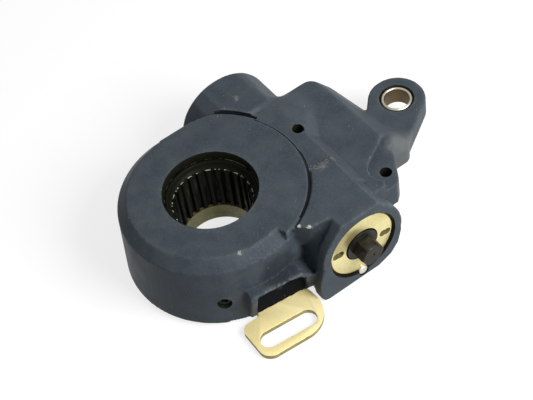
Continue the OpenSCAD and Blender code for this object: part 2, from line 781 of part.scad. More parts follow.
// Control arm: a plate ring under the disc with a neck and a slotted foot
module control_arm() {
    plate = control_plate - seat_gap;
    slim = 0.05;
    color("#e6d594") translate([0, 0, arm_bottom]) difference() {
        union() {
            cylinder(r = cavity_r - 5, h = plate);
            linear_extrude(height = plate) polygon([[neck_left, 0], [neck_left, shoulder[1] + shoulder_r],
                shoulder + [0, shoulder_r - slim], shoulder - [shoulder_r - slim, 0],
                heel - [heel_r - slim, 0], heel - [0, heel_r - slim], toe + [-1.2, slim - toe_r], toe,
                toe + [toe_r - slim, 0], [neck_right + 0.9, -hub_r - 4], [neck_right, -hub_r],
                [neck_right, 0]]);
            translate(heel) cylinder(r = heel_r, h = plate);
            translate(shoulder) cylinder(r = shoulder_r, h = plate);
            translate(toe) cylinder(r = toe_r, h = plate);
        }
        translate([0, 0, -CUT]) linear_extrude(height = plate + 2 * CUT)
            link(slot_a, slot_b, slot_w / 2, slot_w / 2);
        translate([0, 0, -CUT]) cylinder(r = collar_r + seat_gap, h = plate + 2 * CUT);
        translate([0, 0, -arm_bottom]) rivet_holes(arm_bottom - CUT, disc_bottom + CUT);
    }
}

module control_rivets() {
    head_r = 3.4;
    head_h = 0.6;
    color("#cfc08a") for (a = [0:60:300]) rotate([0, 0, a]) translate([rivet_reach, 0, 0]) {
        translate([0, 0, arm_bottom - head_h])
            cylinder(r = rivet_r, h = disc_top - arm_bottom + head_h - 0.2);
        translate([0, 0, arm_bottom - head_h - seat_gap])
            cylinder(r1 = head_r - 0.7, r2 = head_r, h = head_h);
    }
}

// Flat ring under the hub's skirt, left open where the arm swings and where the tube passes
module cover_outline(r_in, r_out) {
    intersection() {
        difference() {
            circle(r = r_out);
            circle(r = r_in);
        }
        polygon(concat([[0, 0]],
            [for (i = [0:8]) let(a = cover_from + (cover_to - cover_from) * i / 8)
                2 * hub_r * [cos(a), sin(a)]]));
    }
}

module screw_holes(from, to) {
    for (a = screw_angles) rotate([0, 0, a]) translate([screw_reach, 0, from])
        cylinder(r = screw_r + seat_gap, h = to - from);
}

module cover_gasket() {
    color("#2a2a28") difference() {
        translate([0, 0, gasket_bottom]) linear_extrude(height = gasket_plate)
            cover_outline(cavity_r + 0.5, hub_r - 2.6);
        screw_holes(gasket_bottom - CUT, floor_z + CUT);
    }
}

module control_cover() {
    color("#ddcf98") difference() {
        translate([0, 0, cover_bottom]) linear_extrude(height = cover_plate)
            cover_outline(cavity_r - 4, hub_r - 2.4);
        screw_holes(cover_bottom - CUT, gasket_bottom + CUT);
    }
}

module cover_screws() {
    head_h = 0.9;
    head_r = 3.9;
    color("#c9bd8c") for (a = screw_angles) rotate([0, 0, a]) translate([screw_reach, 0, 0]) {
        translate([0, 0, cover_bottom - 0.2]) cylinder(r = screw_r, h = floor_z - cover_bottom + 9);
        difference() {
            translate([0, 0, cover_bottom - head_h])
                cylinder(r1 = head_r - 0.5, r2 = head_r, h = head_h);
            translate([0, 0, cover_bottom - head_h - CUT])
                cylinder(r = 1.7, h = head_h + CUT - 0.2, $fn = 6);
        }
    }
}

module grease_plug() {
    sunk = 2.4;
    length = 5;
    color("#26282b") rotate([0, 0, plug_angle]) translate([hub_r - sunk - length, 0, plug_z])
        rotate([0, 90, 0]) difference() {
            cylinder(r = plug_r, h = length);
            translate([0, 0, length - 3]) cylinder(r = 2, h = 4, $fn = 6);
        }
}

housing();
arm_bush();
worm_wheel();
upper_seal();
lower_seal();
worm_shaft();
clutch_ring();
clutch_pinion();
clutch_spring();
load_spring();
rear_bush();
thrust_bearing();
retainer_seal();
bearing_retainer();
lock_pin();
control_rack();
control_disc();
control_arm();
control_rivets();
cover_gasket();
control_cover();
cover_screws();
grease_plug();
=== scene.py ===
from math import cos, pi, radians, sin

import bmesh
import bpy
import numpy as np
from mathutils import Matrix, Vector


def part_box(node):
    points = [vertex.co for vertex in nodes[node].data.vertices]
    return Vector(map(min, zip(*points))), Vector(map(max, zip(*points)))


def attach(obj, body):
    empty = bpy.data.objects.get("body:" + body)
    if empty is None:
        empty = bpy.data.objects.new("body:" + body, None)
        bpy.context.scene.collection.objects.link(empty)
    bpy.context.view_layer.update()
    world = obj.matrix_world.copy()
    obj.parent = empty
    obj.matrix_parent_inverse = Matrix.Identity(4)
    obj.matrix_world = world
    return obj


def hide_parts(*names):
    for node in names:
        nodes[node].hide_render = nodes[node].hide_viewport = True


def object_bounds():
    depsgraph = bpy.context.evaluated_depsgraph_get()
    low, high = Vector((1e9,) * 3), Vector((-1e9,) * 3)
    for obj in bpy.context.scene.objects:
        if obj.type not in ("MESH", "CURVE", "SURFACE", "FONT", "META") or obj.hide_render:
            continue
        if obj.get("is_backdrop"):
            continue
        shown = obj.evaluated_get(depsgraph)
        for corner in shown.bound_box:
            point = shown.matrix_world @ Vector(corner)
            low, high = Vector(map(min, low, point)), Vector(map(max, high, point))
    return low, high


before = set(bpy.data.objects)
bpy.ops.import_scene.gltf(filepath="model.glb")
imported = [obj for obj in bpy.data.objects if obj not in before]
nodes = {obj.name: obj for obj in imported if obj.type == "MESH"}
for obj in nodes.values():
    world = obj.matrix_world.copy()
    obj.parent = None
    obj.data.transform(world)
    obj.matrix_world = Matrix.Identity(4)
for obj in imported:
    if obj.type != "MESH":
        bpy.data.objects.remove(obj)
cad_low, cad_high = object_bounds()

# Housing: one ductile iron casting, with a round hub, a worm tube across its side and an arm to the eye.
# It is sand cast with soft corners, painted blue-grey all over, and then bored and drilled.
MM = 0.001
scene = bpy.context.scene


def add_piece(name, mesh):
    """Links a new piece at the origin, with its place in its mesh."""
    piece = bpy.data.objects.new(name, mesh)
    scene.collection.objects.link(piece)
    return piece


def keep_mesh(work, name):
    """Keeps a shape that is done as a new mesh."""
    mesh = bpy.data.meshes.new(name)
    work.to_mesh(mesh)
    work.free()
    return mesh


def node_shape(node):
    """The node's own shape, ready to be worked on, with its loose triangles joined."""
    work = bmesh.new()
    work.from_mesh(nodes[node].data)
    bmesh.ops.remove_doubles(work, verts=work.verts, dist=0.001 * MM)
    return work


def copy_node(node, name):
    """A piece with the node's own shape."""
    return add_piece(name, keep_mesh(node_shape(node), name))


def bake_modifiers(piece):
    """Turns the piece and its modifiers into one plain mesh."""
    graph = bpy.context.evaluated_depsgraph_get()
    mesh = bpy.data.meshes.new_from_object(piece.evaluated_get(graph), depsgraph=graph)
    mesh.name = piece.name
    piece.modifiers.clear()
    piece.data = mesh
    return piece


def smooth_faces(piece, crease=32):
    """Shades the piece smooth, apart from corners sharper than the crease, in degrees."""
    piece.data.polygons.foreach_set("use_smooth", [True] * len(piece.data.polygons))
    piece.data.set_sharp_from_angle(angle=radians(crease))
    return piece


def turn_mesh(name, outline, base, axis, steps=72, ring=False):
    """A solid turned about an axis: the outline is (along, radius) in mm, and a ring's outline is closed."""
    work = bmesh.new()
    rows = []
    for along, radius in outline:
        if radius == 0:
            rows.append([work.verts.new((0, 0, along * MM))])
            continue
        angles = [2 * pi * i / steps for i in range(steps)]
        circle = [(radius * MM * cos(a), radius * MM * sin(a), along * MM) for a in angles]
        rows.append([work.verts.new(point) for point in circle])
    pairs = list(zip(rows, rows[1:])) + ([(rows[-1], rows[0])] if ring else [])
    for low, high in pairs:
        for i in range(steps):
            j = (i + 1) % steps
            corners = [low[i % len(low)], low[j % len(low)], high[j % len(high)], high[i % len(high)]]
            work.faces.new(list(dict.fromkeys(corners)))
    bmesh.ops.recalc_face_normals(work, faces=work.faces)
    place = Matrix.Translation(Vector(base) * MM) @ Vector(axis).to_track_quat("Z", "Y").to_matrix().to_4x4()
    bmesh.ops.transform(work, matrix=place, verts=work.verts)
    return keep_mesh(work, name)


def arc_mesh(name, inner, edge, low, high, steps=90):
    """A piece of a ring about Z: its outer edge is drawn as angles and radii, in degrees and mm."""
    work = bmesh.new()
    turns, reach = zip(*edge)
    rows = []
    for turn in np.linspace(turns[0], turns[-1], steps + 1):
        way = Vector((cos(radians(turn)), sin(radians(turn)), 0))
        outer = float(np.interp(turn, turns, reach))
        corners = ((inner, low), (outer, low), (outer, high), (inner, high))
        rows.append([work.verts.new((way * radius + Vector((0, 0, z))) * MM) for radius, z in corners])
    work.faces.new(rows[0])
    work.faces.new(rows[-1])
    for first, second in zip(rows, rows[1:]):
        for k in range(4):
            work.faces.new([first[k], first[k - 1], second[k - 1], second[k]])
    bmesh.ops.recalc_face_normals(work, faces=work.faces)
    return keep_mesh(work, name)


def read_vectors(items, label):
    """One vector of each of a mesh's points or faces, as rows of numbers."""
    values = np.empty(len(items) * 3, np.float32)
    items.foreach_get(label, values)
    return values.reshape(-1, 3)


# Where the bored places are, in mm, from the pieces that sit in them
worm_low, worm_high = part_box("worm_shaft")
WORM_X = (worm_low.x + worm_high.x) / 2 / MM
bush_low, bush_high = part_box("arm_bush")
EYE_X = (bush_low.x + bush_high.x) / 2 / MM
EYE_TOP = bush_high.z / MM + 0.1
HUB_TOP = 24.0
MOUTH_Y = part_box("housing")[0].y / MM
pin_low, pin_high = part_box("lock_pin")
PIN_X, PIN_Z = (pin_low.x + pin_high.x) / 2 / MM, (pin_low.z + pin_high.z) / 2 / MM
plug_low, plug_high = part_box("grease_plug")
PLUG_ANGLE = radians(-121.2)
PLUG_WAY = Vector((cos(PLUG_ANGLE), sin(PLUG_ANGLE), 0))
PLUG_Z = (plug_low.z + plug_high.z) / 2 / MM
# The machined mouths, cut into the cast skin: radius, edge chamfer and depth in mm,
# where each one starts and which way it goes
mouths = [
    (24.5, 0.5, 6.5, (0, 0, HUB_TOP), (0, 0, -1)),  # the hub's bore
    (20.1, 0.5, 8.0, (WORM_X, MOUTH_Y, 0), (0, 1, 0)),  # the tube's mouth, round the retainer
    (2.85, 0.2, 7.0, (PIN_X, MOUTH_Y, PIN_Z), (0, 1, 0)),  # the lock pin's hole
    (8.45, 1.1, 12.5, (EYE_X, 0, EYE_TOP), (0, 0, -1)),  # the clevis eye
    (3.0, 0.3, 9.0, (WORM_X + 11.8, 3.6, 23), (0, 0, -1)),  # the drilled hole in the web
    (3.0, 0.3, 9.0, (80.1, -40.5, 10), (0, 0, -1)),  # the drilled hole in the lug
    (3.5, 0.4, 3.0, PLUG_WAY * 50.2 + Vector((0, 0, PLUG_Z)), -PLUG_WAY),  # the grease plug's hole
]
# How fine the skin is, and how the fillers that close the mouths under it differ from them, in mm
CAST_VOXEL = 0.75
CAST_TRIANGLES = 185000
FILLER_WALL = 0.8
FILLER_SHORT = 0.5
# Where the mould's corners are well rounded: a place and a reach in mm, and how much
soft_places = [
    ((70, 22, 19), 22, 1.0), ((64, 9, 22), 11, 0.8), ((86, 30, 12), 16, 0.5), ((84, 6, 12), 22, 0.15),
    ((98, -10, 6), 22, 0.15), ((95, 26, 4), 20, 0.15), ((52, 56, 6), 20, 0.12), ((26, -50, 4), 15, 0.15),
    ((34, -53, 14), 9, 0.15), ((62, -50, 6), 12, 0.15), ((30, 58, 0), 18, 0.15),
]
SOFT_LEVELS = 40
# The hub's face, and its far edge beside the tube: angles, and steps out from the face's radius in mm
FACE_R = -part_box("housing")[0].x / MM - 1.5
far_edge = ((22, 0), (30, 1.2), (55, 1.3), (61, 0), (68, -1.6), (76, -3.5), (86, -4.8), (98, -5.6))
FAR_INNER, FAR_DEPTH = 36, 8

# The mouths are filled before the skin is made, so that they can be cut crisp after it
cast = copy_node("housing", "cast_housing")
fillers = [arc_mesh("far_face", FAR_INNER, [(turn, FACE_R + step) for turn, step in far_edge],
                    HUB_TOP - FAR_DEPTH, HUB_TOP)]
for radius, chamfer, depth, base, way in mouths:
    wide, end = radius + FILLER_WALL, depth - FILLER_SHORT
    fillers.append(turn_mesh("filler", [(0, 0), (0, wide), (end, wide), (end, 0)], base, way))
work = bmesh.new()
work.from_mesh(cast.data)
for filler in fillers:
    work.from_mesh(filler)
    bpy.data.meshes.remove(filler)
work.to_mesh(cast.data)
work.free()
skin = cast.modifiers.new("skin", "REMESH")
skin.mode = "VOXEL"
skin.voxel_size = CAST_VOXEL * MM
bake_modifiers(cast)
spots = read_vectors(cast.data.vertices, "co") / MM
softness = np.zeros(len(spots), np.float32)
for place, reach, amount in soft_places:
    away = np.linalg.norm(spots - np.array(place), axis=1) / reach
    softness = np.maximum(softness, amount * np.clip(2 - 2 * away, 0, 1))
soft_group = cast.vertex_groups.new(name="soft")
for level in range(1, SOFT_LEVELS + 1):
    inside = np.nonzero(np.round(softness * SOFT_LEVELS) == level)[0]
    soft_group.add(inside.tolist(), level / SOFT_LEVELS, "REPLACE")
for label, group, passes in (("ease", "", 2), ("soften", "soft", 100)):
    soften = cast.modifiers.new(label, "SMOOTH")
    soften.factor = 0.5
    soften.iterations = passes
    soften.vertex_group = group
bake_modifiers(cast)
cast.vertex_groups.clear()

# The thin groove between the hub's face and the web, and the dark slot under the far end of the tube
groove = ((-62, 1.5), (-14, 1.5), (-8, 0.8), (28, 0.8))
slot = ((27, 3.4), (53, 3.8))
tools = [
    arc_mesh("channel", FACE_R, [(turn, FACE_R + step) for turn, step in groove], HUB_TOP - 1.5, HUB_TOP + 4),
    arc_mesh("step_foot", FACE_R + 1.3, [(turn, FACE_R + step) for turn, step in slot],
             HUB_TOP - 3, HUB_TOP + 0.4),
]
for radius, chamfer, depth, base, way in mouths:
    outline = [(-1, 0), (-1, radius + chamfer + 1), (chamfer, radius), (depth, radius), (depth, 0)]
    tools.append(turn_mesh("mouth", outline, base, way, steps=120))
cutters = []
for number, tool in enumerate(tools):
    cutter = add_piece(f"cutter_{number}", tool)
    bore = cast.modifiers.new(f"bore_{number}", "BOOLEAN")
    bore.operation = "DIFFERENCE"
    bore.solver = "EXACT"
    bore.object = cutter
    cutters.append(cutter)
bake_modifiers(cast)
for cutter in cutters:
    bpy.data.objects.remove(cutter)
thin = cast.modifiers.new("thin", "DECIMATE")
thin.ratio = min(1.0, CAST_TRIANGLES / sum(len(p.vertices) - 2 for p in cast.data.polygons))
bake_modifiers(cast)
smooth_faces(cast, 45)


def mark_edges(mesh, passes=2):
    """Stores on each point how far it stands out from its neighbours, softened over a few of them."""
    count = len(mesh.vertices)
    place, normal = read_vectors(mesh.vertices, "co"), read_vectors(mesh.vertices, "normal")
    ends = np.empty(len(mesh.edges) * 2, np.int32)
    mesh.edges.foreach_get("vertices", ends)
    a, b = ends.reshape(-1, 2).T
    step = place[b] - place[a]
    length = np.linalg.norm(step, axis=1) + 1e-9
    degree = np.bincount(a, minlength=count) + np.bincount(b, minlength=count)
    rise = np.bincount(a, -(step * normal[a]).sum(1) / length, count)
    rise += np.bincount(b, (step * normal[b]).sum(1) / length, count)
    edge = rise / degree
    for _ in range(passes):
        near = np.bincount(a, edge[b], count) + np.bincount(b, edge[a], count)
        edge = 0.5 * edge + 0.5 * near / degree
    mesh.attributes.new("edge", "FLOAT", "POINT").data.foreach_set("value", edge.astype(np.float32))


mark_edges(cast.data)


def tint(code):
    """A colour as the shaders take it, from its six-digit code."""
    parts = [int(code[i:i + 2], 16) / 255 for i in (0, 2, 4)]
    return tuple(p / 12.92 if p <= 0.04045 else ((p + 0.055) / 1.055) ** 2.4 for p in parts) + (1.0,)


def put(tree, kind, inputs=None, **settings):
    """Adds a node, with its settings, and sets or links its inputs by name or number."""
    node = tree.nodes.new(kind)
    for key, value in settings.items():
        setattr(node, key, value)
    for key, value in (inputs or {}).items():
        if isinstance(value, bpy.types.NodeSocket):
            tree.links.new(value, node.inputs[key])
        else:
            node.inputs[key].default_value = value
    return node


def calc(tree, operation, *terms):
    """A sum of one to three terms, by the name of its operation."""
    return put(tree, "ShaderNodeMath", dict(enumerate(terms)), operation=operation).outputs[0]


def span(tree, value, low, high, to_low=0.0, to_high=1.0):
    """Stretches the values from low to high over a new span."""
    sockets = {"Value": value, "From Min": low, "From Max": high, "To Min": to_low, "To Max": to_high}
    return put(tree, "ShaderNodeMapRange", sockets).outputs[0]


def noise(tree, vector, size, detail=3.0, rough=0.5):
    """Noise whose lumps are about the given size, in mm, which may also be linked."""
    linked = isinstance(size, bpy.types.NodeSocket)
    scale = calc(tree, "DIVIDE", 1 / MM, size) if linked else 1 / (size * MM)
    sockets = {"Vector": vector, "Scale": scale, "Detail": detail, "Roughness": rough}
    return put(tree, "ShaderNodeTexNoise", sockets).outputs[0]


def mix(tree, share, first, second):
    """Goes from the first colour to the second by the share."""
    return put(tree, "ShaderNodeMix", {0: share, 6: first, 7: second}, data_type="RGBA").outputs[2]


def effect(name, inputs, outputs):
    """A node group with named inputs and outputs, with its two ends."""
    group = bpy.data.node_groups.new(name, "ShaderNodeTree")
    for label, kind, value in inputs:
        socket = group.interface.new_socket(label, in_out="INPUT", socket_type="NodeSocket" + kind)
        if value is not None:
            socket.default_value = value
    for label, kind in outputs:
        group.interface.new_socket(label, in_out="OUTPUT", socket_type="NodeSocket" + kind)
    return group, group.nodes.new("NodeGroupInput").outputs, group.nodes.new("NodeGroupOutput").inputs


def finish_material(name):
    """A new material with its tree, its shader and its Object coordinates."""
    material = bpy.data.materials.new(name)
    material.use_nodes = True
    tree = material.node_tree
    shader = tree.nodes["Principled BSDF"]
    return material, tree, shader, tree.nodes.new("ShaderNodeTexCoord").outputs["Object"]


def dress(piece, *materials):
    """Gives a piece or a node its materials in place of what it had."""
    piece.data.materials.clear()
    for material in materials:
        piece.data.materials.append(material)
    return piece


# Sand grain: the lumpy skin that a sand mould leaves, fine grains over broad swells
sand_grain, at, to = effect(
    "sand_grain", [("Vector", "Vector", None), ("Grain", "Float", 1.2), ("Swell", "Float", 9.0)],
    [("Height", "Float"), ("Shade", "Float")])
grains = noise(sand_grain, at["Vector"], at["Grain"], 3.0)
swells = noise(sand_grain, at["Vector"], at["Swell"], 2.0)
sand_grain.links.new(calc(sand_grain, "MULTIPLY_ADD", swells, 1.6, grains), to["Height"])
sand_grain.links.new(span(sand_grain, swells, 0.3, 0.7), to["Shade"])

# Rubbed edges: where handling has thinned the finish on corners, broken up into patches
rubbed_edges, at, to = effect(
    "rubbed_edges", [("Vector", "Vector", None), ("Edge", "Float", 0.0), ("Patch", "Float", 2.0),
                     ("Reach", "Float", 0.2)],
    [("Rub", "Float"), ("Chip", "Float")])
patches = noise(rubbed_edges, at["Vector"], at["Patch"], 4.0)
corner = calc(rubbed_edges, "DIVIDE", at["Edge"], at["Reach"])
thinned = calc(rubbed_edges, "MULTIPLY", corner, span(rubbed_edges, patches, 0.35, 0.65))
rubbed_edges.links.new(thinned, to["Rub"])
chipped = calc(rubbed_edges, "MULTIPLY", span(rubbed_edges, corner, 0.4, 0.9),
               span(rubbed_edges, patches, 0.68, 0.74))
rubbed_edges.links.new(chipped, to["Chip"])

# Ragged spot: a place about a point, with a ragged border, used for wear and for painted light and shade
ragged_spot, at, to = effect(
    "ragged_spot", [("Vector", "Vector", None), ("Centre", "Vector", None), ("Reach", "Float", 2.0),
             ("Ragged", "Float", 0.5)],
    [("Mask", "Float")])
away = put(ragged_spot, "ShaderNodeVectorMath", {0: at["Vector"], 1: at["Centre"]}, operation="DISTANCE")
away = calc(ragged_spot, "DIVIDE", away.outputs["Value"], calc(ragged_spot, "MULTIPLY", at["Reach"], MM))
border = noise(ragged_spot, at["Vector"], calc(ragged_spot, "MULTIPLY", at["Reach"], 0.5), 4.0)
border = calc(ragged_spot, "MULTIPLY", calc(ragged_spot, "SUBTRACT", border, 0.5),
              calc(ragged_spot, "MULTIPLY", at["Ragged"], 4.0))
ragged_spot.links.new(span(ragged_spot, calc(ragged_spot, "ADD", away, border), 1.0, 0.6), to["Mask"])


def spot_mask(tree, where, centre, reach, ragged):
    """The mask of one ragged round spot, in mm: for worn places, rough patches and painted light and shade.
    """
    sockets = {"Vector": where, "Centre": Vector(centre) * MM, "Reach": reach, "Ragged": ragged}
    return put(tree, "ShaderNodeGroup", sockets, node_tree=ragged_spot).outputs["Mask"]


def two_tone(tree, shader, field, dark, light, gloss, ends=(0.3, 0.7)):
    """Colours a shader from dark to light by a field, and lets its roughness follow between the ends."""
    tree.links.new(mix(tree, field, tint(dark), tint(light)), shader.inputs["Base Color"])
    tree.links.new(span(tree, field, *ends, *gloss), shader.inputs["Roughness"])


def add_bump(tree, shader, height, strength, depth):
    """Raises a shader's surface by a field, to a depth in mm."""
    bump = put(tree, "ShaderNodeBump", {"Strength": strength, "Distance": depth * MM, "Height": height})
    tree.links.new(bump.outputs[0], shader.inputs["Normal"])


PAINT = tint("434b51")
PAINT_DEEP = tint("383f47")
PAINT_THIN = tint("666c6e")
# Painted shade: a near-black blue for creases and sheltered walls
HOLLOW_SHADE = tint("1d2228")
POCKET_SHADE = tint("0b0e12")
PAINTED_SHEEN = tint("8f8f88")
BARE_IRON = tint("c9c5ba")
# The nicks: a place, a reach in mm, how ragged the border is and how much iron shows
nicks = [
    ((19.6, -48.8, 24.8), 1.1, 0.3, 0.8), ((22.9, -52.9, 24.6), 1.5, 0.5, 0.9),
    ((45.6, 41.1, 25), 1.7, 1.2, 0.15), ((-11.7, -42.1, 23.7), 1.2, 1.1, 0.4),
    ((51.4, -26.1, 25), 2.2, 1.2, 0.15), ((47.6, -23.4, 24), 2.4, 1.2, 0.12),
    ((51.1, -23.9, 24), 2.4, 1.2, 0.12), ((54.6, -24.3, 24), 2.4, 1.2, 0.12),
    ((58.8, -24.6, 24), 2.4, 1.2, 0.12), ((-32.4, -27.1, 20), 1.2, 1.1, 0.35),
]
cast_paint, tree, shader, where = finish_material("cast_paint")
edge = put(tree, "ShaderNodeAttribute", attribute_name="edge").outputs["Fac"]
sand = put(tree, "ShaderNodeGroup", {"Vector": where}, node_tree=sand_grain)
rub = put(tree, "ShaderNodeGroup", {"Vector": where, "Edge": edge}, node_tree=rubbed_edges)
shade = mix(tree, sand.outputs["Shade"], PAINT_DEEP, PAINT)
grit = span(tree, noise(tree, where, 0.7, 2.0, 0.7), 0.5, 0.75, 0.0, 0.25)
shade = mix(tree, grit, shade, PAINT_THIN)
# Painted shade: concave creases are darkened towards the near-black blue
shade = mix(tree, span(tree, edge, -0.02, -0.14, 0.0, 0.85), shade, HOLLOW_SHADE)
# A painted sheen lightens the arm's end, and painted shade darkens the wall under the brow and the pocket
# that the control arm leaves by
end_sheen = calc(tree, "MULTIPLY", spot_mask(tree, where, (101, -31, 1), 15, 0.15), 0.25)
shade = mix(tree, end_sheen, shade, PAINTED_SHEEN)
# Painted shade on the wall under the brow
brow_lee_shade = calc(tree, "MULTIPLY", spot_mask(tree, where, (4, -49, 4), 13, 0.15), 0.6)
shade = mix(tree, brow_lee_shade, shade, HOLLOW_SHADE)
rough_skin = calc(tree, "MAXIMUM", spot_mask(tree, where, (4, -44, 19), 13, 0.3),
                  spot_mask(tree, where, (4, -55, 0), 14, 0.3))
# Edge wear, made stronger on the rough patches so that the brow's edges also carry painted highlights
rubbed_and_highlit = calc(tree, "MULTIPLY", rub.outputs["Rub"], span(tree, rough_skin, 0.0, 1.0, 0.5, 1.2))
shade = mix(tree, rubbed_and_highlit, shade, PAINT_THIN)
shade = mix(tree, rub.outputs["Chip"], shade, BARE_IRON)
# Painted shade: the pocket that the control arm leaves by is darkened nearly to black, and made matt
pocket_shade = calc(tree, "MAXIMUM", spot_mask(tree, where, (-4, -48, -15), 13, 0.1),
              spot_mask(tree, where, (9, -49, -15), 13, 0.1))
shade = mix(tree, pocket_shade, shade, POCKET_SHADE)
specks = span(tree, noise(tree, where, 1.1, 1.0), 0.79, 0.81)
shade = mix(tree, calc(tree, "MULTIPLY", specks, 0.6), shade, BARE_IRON)
for centre, reach, ragged, share in nicks:
    bared = calc(tree, "MULTIPLY", spot_mask(tree, where, centre, reach, ragged), share)
    shade = mix(tree, bared, shade, BARE_IRON)
tree.links.new(shade, shader.inputs["Base Color"])
dull = calc(tree, "MAXIMUM", span(tree, sand.outputs["Shade"], 0.0, 1.0, 0.42, 0.54), pocket_shade)
tree.links.new(dull, shader.inputs["Roughness"])
shader.inputs["Specular IOR Level"].default_value = 0.1
add_bump(tree, shader, sand.outputs["Height"], span(tree, rough_skin, 0.0, 1.0, 0.1, 1.0), 0.6)
bored_iron, tree, shader, where = finish_material("bored_iron")
two_tone(tree, shader, noise(tree, where, 2.0, 4.0), "0c0d08", "18180f", (0.4, 0.65))
shader.inputs["Specular IOR Level"].default_value = 0.06
dress(cast, cast_paint, bored_iron)
spots = read_vectors(cast.data.polygons, "center") / MM
# The faces inside a mouth are bare of paint
bare = np.zeros(len(spots), bool)
for radius, chamfer, depth, base, way in mouths:
    along = (spots - np.array(base)) @ np.array(way)
    off_axis = np.linalg.norm(spots - np.array(base) - along[:, None] * np.array(way), axis=1)
    bare |= (off_axis < radius + 0.95 * chamfer) & (along > 0.02) & (along < depth + 0.3)
cast.data.polygons.foreach_set("material_index", bare.astype(np.int32))
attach(cast, "body")
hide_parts("housing")

# Clevis bush: a split steel bush pressed into the arm's eye, with a thin bright rim.
# The clevis pin has burnished its bore brown.
BUSH_BORE = 7.0
BUSH_OUT = (bush_high.x - bush_low.x) / 2 / MM
BUSH_LONG = (bush_high.z - bush_low.z) / MM
bush_outline = [(0.4, BUSH_BORE), (0, BUSH_BORE + 0.35), (0, BUSH_OUT - 0.5), (0.5, BUSH_OUT),
                (BUSH_LONG - 0.5, BUSH_OUT), (BUSH_LONG, BUSH_OUT - 0.5), (BUSH_LONG, BUSH_BORE + 0.35),
                (BUSH_LONG - 0.4, BUSH_BORE)]
bush_mesh = turn_mesh("clevis_bush", bush_outline, (EYE_X, 0, bush_low.z / MM), (0, 0, 1), ring=True)
bush = smooth_faces(add_piece("clevis_bush", bush_mesh))


def reach_and_rise(tree, where):
    """How far a place is from the Z axis, and how high it is."""
    parts = put(tree, "ShaderNodeSeparateXYZ", {0: where}).outputs
    flat = put(tree, "ShaderNodeCombineXYZ", {0: parts[0], 1: parts[1]}).outputs[0]
    return put(tree, "ShaderNodeVectorMath", {0: flat}, operation="LENGTH").outputs["Value"], parts[2]


# Turned lines: the fine rings that a lathe leaves, about the Z axis of the coordinates it is given
turned_lines, at, to = effect(
    "turned_lines", [("Vector", "Vector", None), ("Pitch", "Float", 0.3)], [("Height", "Float")])
travel = calc(turned_lines, "ADD", *reach_and_rise(turned_lines, at["Vector"]))
turns = calc(turned_lines, "DIVIDE", travel, calc(turned_lines, "MULTIPLY", at["Pitch"], MM))
lines = put(turned_lines, "ShaderNodeTexNoise", {"W": turns, "Scale": 1.0, "Detail": 2.0},
            noise_dimensions="1D")
turned_lines.links.new(lines.outputs[0], to["Height"])
LATHE_DEPTH = 0.04


def lathe_bump(tree, shader, where, centre, turn, pitch, strength):
    """Gives a shader the lines of a lathe whose axis passes through the centre, in mm."""
    sockets = {"Vector": where, "Location": Vector(centre) * MM, "Rotation": turn}
    seat = put(tree, "ShaderNodeMapping", sockets, vector_type="TEXTURE")
    rings = put(tree, "ShaderNodeGroup", {"Vector": seat.outputs[0], "Pitch": pitch}, node_tree=turned_lines)
    add_bump(tree, shader, rings.outputs["Height"], strength, LATHE_DEPTH)
    return rings.outputs["Height"]


bush_steel, tree, shader, where = finish_material("bush_steel")
shader.inputs["Metallic"].default_value = 1.0
rings = lathe_bump(tree, shader, where, (EYE_X, 0, 0), (0, 0, 0), 0.35, 0.5)
two_tone(tree, shader, rings, "9b9384", "cbc4b4", (0.28, 0.45), (0.2, 0.8))
burnished, tree, shader, where = finish_material("burnished_bore")
shader.inputs["Metallic"].default_value = 1.0
two_tone(tree, shader, noise(tree, where, 3.5, 4.0), "453a29", "7c6a4e", (0.35, 0.6))
dress(bush, bush_steel, burnished)
eye_axis = Vector((EYE_X * MM, 0, 0))
for face in bush.data.polygons:
    middle = face.center - eye_axis
    if Vector((middle.x, middle.y)).length < (BUSH_BORE + 0.1) * MM:
        face.material_index = 1
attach(bush, "body")
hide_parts("arm_bush")

# Worm wheel: a cut steel wheel that turns in the hub, splined inside for the camshaft.
# Oil has blackened it; the upper ends of the spline teeth and the top rim are lightened, partly as rubbed
# wear and partly as painted highlights.
wheel = copy_node("worm_wheel", "worm_wheel_splined")
smooth_faces(wheel, 25)
WHEEL_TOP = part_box("worm_wheel")[1].z / MM
SPLINE_TOP, SPLINE_ROOT, WHEEL_NECK = 14.6, 21.4, 24.44
oil_black, tree, shader, where = finish_material("oil_black")
film = noise(tree, where, 4.0, 4.0)
shade = mix(tree, film, tint("0a0b06"), tint("12130c"))
radius, rise = reach_and_rise(tree, where)
# Painted highlights with some wear: a pale band on the tooth ends and a fainter line on the top rim, broken
# by streaks
tooth_end = calc(tree, "MULTIPLY", span(tree, rise, (SPLINE_TOP - 0.5) * MM, (SPLINE_TOP - 0.3) * MM),
                 span(tree, calc(tree, "COMPARE", radius, (SPLINE_ROOT - 0.5) * MM, 0.3 * MM), 0.0, 1.0))
rim = calc(tree, "MULTIPLY", span(tree, rise, (WHEEL_TOP - 0.2) * MM, (WHEEL_TOP - 0.1) * MM),
           span(tree, radius, (WHEEL_NECK - 0.5) * MM, (WHEEL_NECK - 0.3) * MM))
streak = span(tree, noise(tree, where, 3.0, 3.0), 0.44, 0.54)
rubbed_and_highlit = calc(tree, "MULTIPLY", calc(tree, "MAXIMUM", tooth_end, calc(tree, "MULTIPLY", rim, 0.5)), streak)
tree.links.new(mix(tree, rubbed_and_highlit, shade, tint("9c9a8a")), shader.inputs["Base Color"])
tree.links.new(span(tree, film, 0.3, 0.7, 0.4, 0.65), shader.inputs["Roughness"])
shader.inputs["Specular IOR Level"].default_value = 0.06
dress(wheel, oil_black)
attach(wheel, "wheel")
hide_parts("worm_wheel")

